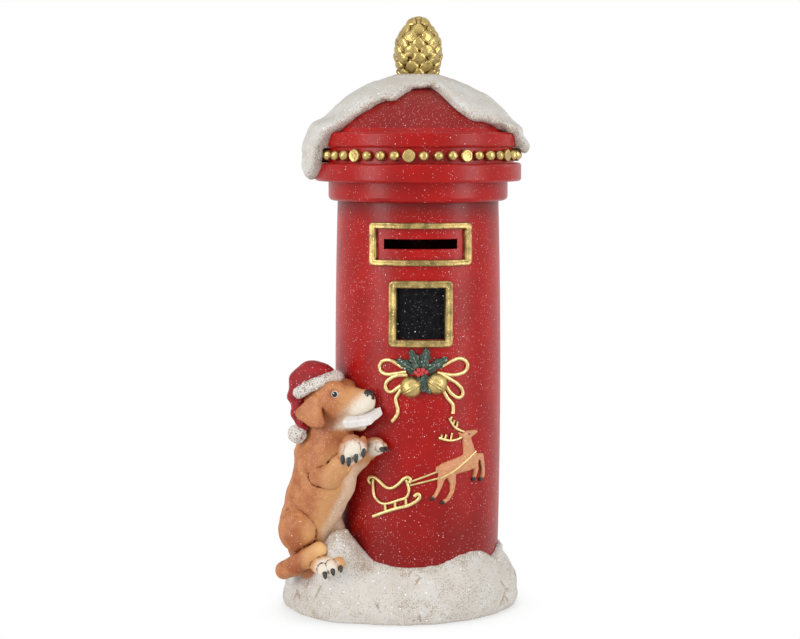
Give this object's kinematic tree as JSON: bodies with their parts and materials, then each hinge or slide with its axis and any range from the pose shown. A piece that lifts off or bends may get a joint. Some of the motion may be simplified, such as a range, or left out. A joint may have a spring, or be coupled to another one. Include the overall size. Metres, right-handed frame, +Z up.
{
  "type": "money box",
  "caption": "Round pillar letter-box money box under a snow cap with a pine cone, coin slot in front, puppy in a Santa hat at its side, stopper in the base.",
  "frame": {"origin": "middle of the footprint's bounding box, on the ground", "axes": "+Z up along the pillar, the coin slot faces -Y, the puppy stands on the -X side"},
  "size_m": [0.1262, 0.1078, 0.3],
  "materials": {
    "snow_paint": "cast resin painted off-white with a brown wash in the pits",
    "stopper_pvc": "soft moulded PVC, matt black",
    "red_glitter_paint": "cast resin painted deep red with fine glitter",
    "cone_gold": "cast resin with aged gold paint over brown",
    "aged_gold": "cast resin with aged gold paint",
    "pane_black": "black paint with fine glitter",
    "holly_green": "dark green paint with pale highlights",
    "berry_red": "red paint, slightly glossy",
    "deer_tan": "orange-tan paint with dark hooves",
    "puppy_coat": "orange-tan paint fading to cream, hand painted",
    "hat_red": "dark crimson paint",
    "hat_fur": "rough cast resin, off-white with brown specks",
    "letter_white": "white paint"
  },
  "bodies": {
    "money_box": {"snow_base": "snow_paint", "pillar_shell": "red_glitter_paint", "cornice_ring": "red_glitter_paint", "roof_dome": "red_glitter_paint", "roof_snow": "snow_paint", "pine_cone": "cone_gold", "round_studs": "aged_gold", "disc_studs": "aged_gold", "slot_frame": "aged_gold", "window_frame": "aged_gold", "window_panel": "pane_black", "holly_leaves": "holly_green", "holly_berries": "berry_red", "jingle_bells": "aged_gold", "ribbon_bow": "aged_gold", "sleigh": "aged_gold", "reins": "aged_gold", "reindeer": "deer_tan", "antlers": "aged_gold", "dog_body": "puppy_coat", "dog_head": "puppy_coat", "dog_ears": "puppy_coat", "dog_forelegs": "puppy_coat", "dog_hind_legs": "puppy_coat", "santa_hat": "hat_red", "hat_band": "hat_fur", "hat_pompom": "hat_fur", "letter": "letter_white"},
    "stopper": {"coin_stopper": "stopper_pvc"}
  },
  "joints": [
    {"name": "stopper_pull", "type": "slide", "parent": "money_box", "child": "stopper", "axis": [0, 0, -1], "range_m": [0, 0.03]}
  ]
}
